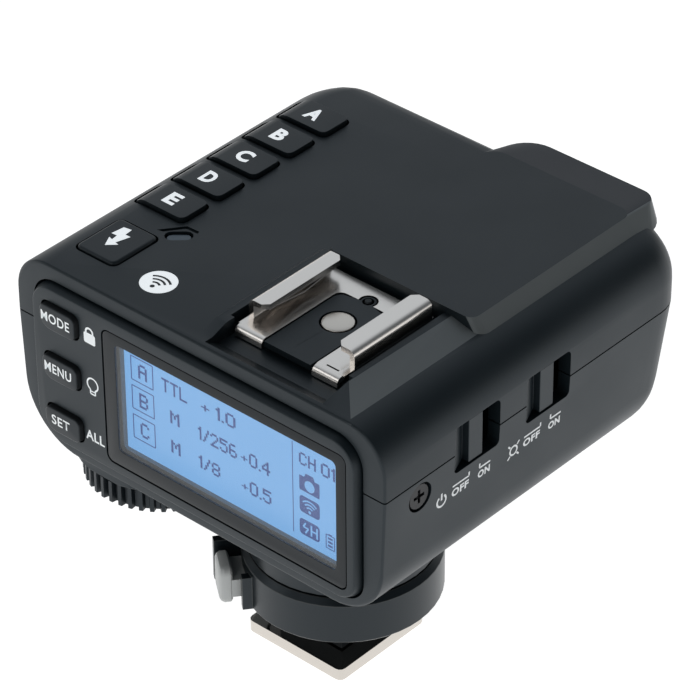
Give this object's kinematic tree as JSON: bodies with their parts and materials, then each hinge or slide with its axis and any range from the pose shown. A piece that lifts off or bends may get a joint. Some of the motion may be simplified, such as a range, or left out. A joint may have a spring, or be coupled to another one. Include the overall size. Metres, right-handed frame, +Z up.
{
  "type": "wireless flash trigger",
  "caption": "Hot-shoe radio trigger for studio flashes: top accessory shoe, backlit screen, keys, thumb dial, side slide switches, battery door and a locking collar foot.",
  "frame": {"origin": "on the axis of the locking collar, at the underside of the foot plate", "axes": "+X to the right of a person who faces the screen, +Y away from that person the way the lens points, +Z up through the shoe"},
  "size_m": [0.072, 0.0726, 0.059],
  "materials": {
    "deck_plastic": "moulded ABS, fine satin texture",
    "lens": "clear acrylic window",
    "grey_plastic": "light grey moulding",
    "screen": "blue backlit liquid crystal",
    "light_pipe": "translucent polycarbonate",
    "key_plastic": "moulded keys, satin",
    "nickel": "bright nickel plate on steel",
    "inner_plastic": "glass-filled nylon, dull",
    "gold": "gold flash on brass",
    "steel": "plain stamped steel",
    "cell": "shrink sleeve on a steel can",
    "board": "green solder mask",
    "lamp_window": "deep red acrylic"
  },
  "bodies": {
    "body": {"top_cover": "deck_plastic", "bottom_cover": "deck_plastic", "rear_panel": "deck_plastic", "screen_lens": "lens", "screen_frame": "grey_plastic", "lcd_glass": "screen", "lcd_backlight": "light_pipe", "status_light_pipe": "light_pipe", "shoe_bracket": "nickel", "shoe_insulator": "inner_plastic", "shoe_centre_contact": "nickel", "shoe_signal_contact": "gold", "shoe_spring_left": "nickel", "shoe_spring_right": "nickel", "foot_plate": "nickel", "foot_neck": "inner_plastic", "collar_drum": "inner_plastic", "dial_encoder": "steel", "power_switch_body": "steel", "lamp_switch_body": "steel", "battery_cell_1": "cell", "battery_cell_2": "cell", "contact_spring_1": "steel", "contact_spring_2": "steel", "contact_plate_1": "steel", "contact_plate_2": "steel", "door_hinge_pins": "steel", "main_board": "board", "top_key_board": "board", "rear_key_board": "board", "radio_module": "steel", "usb_socket": "steel", "sync_jack": "inner_plastic", "lamp_window": "lamp_window", "focus_lamp": "light_pipe", "side_screw_left": "steel", "side_screw_right": "steel"},
    "key_a": {"key_a": "key_plastic"},
    "key_b": {"key_b": "key_plastic"},
    "key_c": {"key_c": "key_plastic"},
    "key_d": {"key_d": "key_plastic"},
    "key_e": {"key_e": "key_plastic"},
    "test_key": {"test_key": "key_plastic"},
    "mode_key": {"mode_key": "key_plastic"},
    "menu_key": {"menu_key": "key_plastic"},
    "set_key": {"set_key": "key_plastic"},
    "select_dial": {"select_dial": "key_plastic"},
    "power_switch": {"power_switch_knob": "key_plastic"},
    "lamp_switch": {"lamp_switch_knob": "key_plastic"},
    "battery_door": {"battery_door": "deck_plastic"},
    "lock_ring": {"lock_ring": "inner_plastic"},
    "lock_release": {"lock_release": "grey_plastic"},
    "lock_pin": {"lock_pin": "steel"},
    "centre_pin": {"centre_pin": "gold"},
    "signal_pin_1": {"signal_pin_1": "gold"},
    "signal_pin_2": {"signal_pin_2": "gold"},
    "signal_pin_3": {"signal_pin_3": "gold"}
  },
  "joints": [
    {"name": "key_a_slide", "type": "slide", "parent": "body", "child": "key_a", "axis": [0, 0, -1], "range_m": [0, 0.0006], "stiffness_N_per_m": 800, "springref_m": -0.0004},
    {"name": "key_b_slide", "type": "slide", "parent": "body", "child": "key_b", "axis": [0, 0, -1], "range_m": [0, 0.0006], "stiffness_N_per_m": 800, "springref_m": -0.0004},
    {"name": "key_c_slide", "type": "slide", "parent": "body", "child": "key_c", "axis": [0, 0, -1], "range_m": [0, 0.0006], "stiffness_N_per_m": 800, "springref_m": -0.0004},
    {"name": "key_d_slide", "type": "slide", "parent": "body", "child": "key_d", "axis": [0, 0, -1], "range_m": [0, 0.0006], "stiffness_N_per_m": 800, "springref_m": -0.0004},
    {"name": "key_e_slide", "type": "slide", "parent": "body", "child": "key_e", "axis": [0, 0, -1], "range_m": [0, 0.0006], "stiffness_N_per_m": 800, "springref_m": -0.0004},
    {"name": "test_key_slide", "type": "slide", "parent": "body", "child": "test_key", "axis": [0, 0, -1], "range_m": [0, 0.0006], "stiffness_N_per_m": 800, "springref_m": -0.0004},
    {"name": "mode_key_slide", "type": "slide", "parent": "body", "child": "mode_key", "axis": [0, 1, 0], "range_m": [0, 0.0006], "stiffness_N_per_m": 800, "springref_m": -0.0004},
    {"name": "menu_key_slide", "type": "slide", "parent": "body", "child": "menu_key", "axis": [0, 1, 0], "range_m": [0, 0.0006], "stiffness_N_per_m": 800, "springref_m": -0.0004},
    {"name": "set_key_slide", "type": "slide", "parent": "body", "child": "set_key", "axis": [0, 1, 0], "range_m": [0, 0.0006], "stiffness_N_per_m": 800, "springref_m": -0.0004},
    {"name": "select_dial_turn", "type": "hinge", "parent": "body", "child": "select_dial", "pos_m": [-0.0312, -0.0056, 0.0172], "axis": [0, 0, 1], "continuous": true},
    {"name": "power_switch_slide", "type": "slide", "parent": "body", "child": "power_switch", "axis": [0, 1, 0], "range_m": [0, 0.0032]},
    {"name": "lamp_switch_slide", "type": "slide", "parent": "body", "child": "lamp_switch", "axis": [0, 1, 0], "range_m": [0, 0.0032]},
    {"name": "battery_door_hinge", "type": "hinge", "parent": "body", "child": "battery_door", "pos_m": [0, 0.0396, 0.0238], "axis": [1, 0, 0], "range_deg": [0, 95]},
    {"name": "lock_ring_turn", "type": "hinge", "parent": "body", "child": "lock_ring", "pos_m": [0, 0, 0.0076], "axis": [0, 0, 1], "range_deg": [0, 60]},
    {"name": "lock_release_slide", "type": "slide", "parent": "lock_ring", "child": "lock_release", "axis": [0.6157, 0.788, 0], "range_m": [0, 0.0012], "stiffness_N_per_m": 800, "springref_m": -0.0004},
    {"name": "lock_pin_slide", "type": "slide", "parent": "body", "child": "lock_pin", "axis": [0, 0, -1], "range_m": [0, 0.0015]},
    {"name": "centre_pin_slide", "type": "slide", "parent": "body", "child": "centre_pin", "axis": [0, 0, 1], "range_m": [0, 0.0008], "stiffness_N_per_m": 300, "springref_m": -0.0006},
    {"name": "signal_pin_1_slide", "type": "slide", "parent": "body", "child": "signal_pin_1", "axis": [0, 0, 1], "range_m": [0, 0.0008], "stiffness_N_per_m": 300, "springref_m": -0.0006},
    {"name": "signal_pin_2_slide", "type": "slide", "parent": "body", "child": "signal_pin_2", "axis": [0, 0, 1], "range_m": [0, 0.0008], "stiffness_N_per_m": 300, "springref_m": -0.0006},
    {"name": "signal_pin_3_slide", "type": "slide", "parent": "body", "child": "signal_pin_3", "axis": [0, 0, 1], "range_m": [0, 0.0008], "stiffness_N_per_m": 300, "springref_m": -0.0006}
  ],
  "couplings": [
    {"joint": "lock_pin_slide", "follows": "lock_ring_turn", "m_per_rad": 0.0014323}
  ]
}
